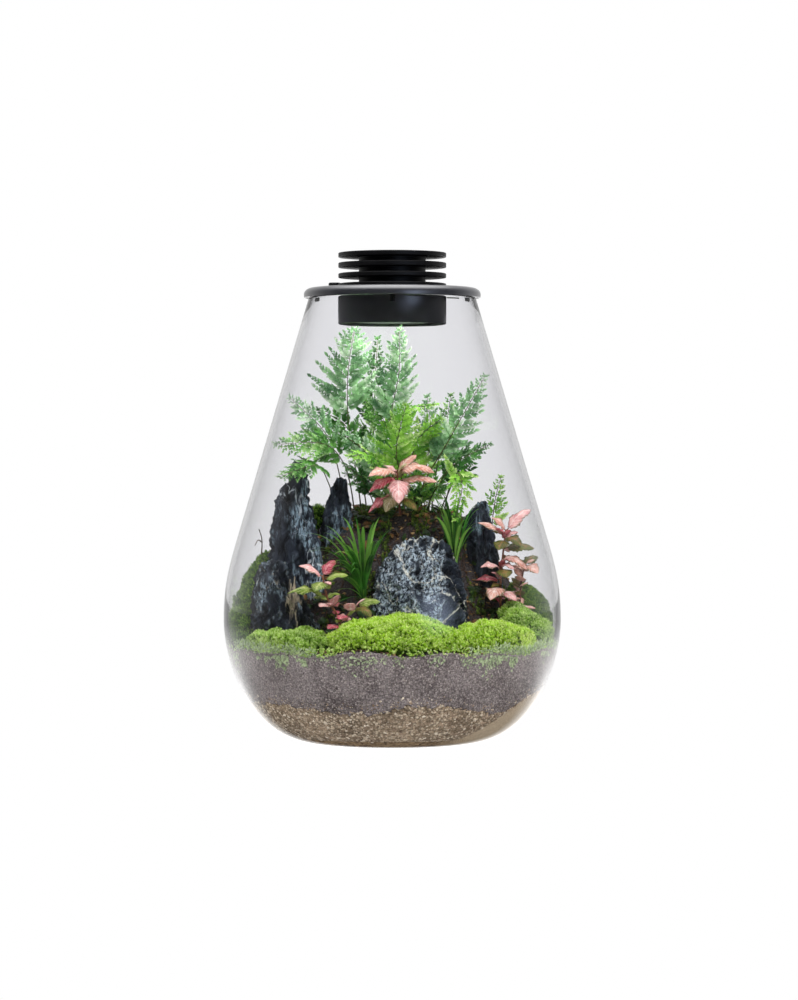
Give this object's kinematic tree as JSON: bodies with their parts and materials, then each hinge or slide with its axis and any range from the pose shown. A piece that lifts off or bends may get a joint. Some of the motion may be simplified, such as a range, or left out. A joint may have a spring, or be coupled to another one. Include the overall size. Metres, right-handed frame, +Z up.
{
  "type": "glass plant terrarium",
  "caption": "Pear-shaped glass jar planted with ferns, nerve plants and strap-leaved tufts among dark rocks and moss, closed by a black lid that holds a lamp with a finned heat sink.",
  "frame": {"origin": "centre of the jar's flat base", "axes": "+Z up along the jar's axis, -Y towards the viewer of the planting's front, +X to the viewer's right"},
  "size_m": [0.25, 0.25, 0.3631],
  "materials": {
    "jar_glass": "polished",
    "black_metal": "satin",
    "black_plastic": "matte",
    "lens": "satin",
    "circuit_board": "satin",
    "screw_steel": "satin",
    "wire": "satin",
    "peg_rubber": "matte",
    "rock": "matte",
    "fern_leaf": "satin",
    "nerve_leaf": "satin",
    "grass_leaf": "satin",
    "twig_wood": "matte",
    "moss": "matte",
    "sand": "matte",
    "gravel": "matte",
    "soil": "matte"
  },
  "bodies": {
    "root": {"glass_jar": "jar_glass", "lid": "black_metal", "heat_sink": "black_metal", "lamp_housing": "black_metal", "lamp_side_pin": "black_metal", "power_inlet": "black_plastic", "lamp_lens": "lens", "led_board": "circuit_board", "board_screw_1": "screw_steel", "board_screw_2": "screw_steel", "board_screw_3": "screw_steel", "supply_wire": "wire", "lid_peg_1": "peg_rubber", "lid_peg_2": "peg_rubber", "lid_peg_3": "peg_rubber", "lid_peg_4": "peg_rubber", "spire_rock": "rock", "low_rock": "rock", "back_spire_rock": "rock", "boulder": "rock", "slate_rock": "rock", "frond_1": "fern_leaf", "frond_2": "fern_leaf", "frond_3": "fern_leaf", "frond_4": "fern_leaf", "frond_5": "fern_leaf", "frond_6": "fern_leaf", "frond_7": "fern_leaf", "frond_8": "fern_leaf", "frond_9": "fern_leaf", "frond_10": "fern_leaf", "frond_11": "fern_leaf", "frond_12": "fern_leaf", "frond_13": "fern_leaf", "frond_14": "fern_leaf", "frond_15": "fern_leaf", "frond_16": "fern_leaf", "frond_17": "fern_leaf", "frond_18": "fern_leaf", "frond_19": "fern_leaf", "frond_20": "fern_leaf", "nerve_plant_centre": "nerve_leaf", "nerve_plant_right": "nerve_leaf", "nerve_cutting_right": "nerve_leaf", "nerve_plant_front": "nerve_leaf", "grass_left": "grass_leaf", "grass_right": "grass_leaf", "dead_twig": "twig_wood", "moss_front": "moss", "moss_right": "moss", "moss_right_edge": "moss", "moss_far_right": "moss", "moss_front_left": "moss", "moss_left_tuft": "moss", "moss_left_bank": "moss", "moss_back_bank": "moss", "moss_ledge": "moss", "sand_layer": "sand", "gravel_layer": "gravel", "soil": "soil"}
  },
  "joints": []
}
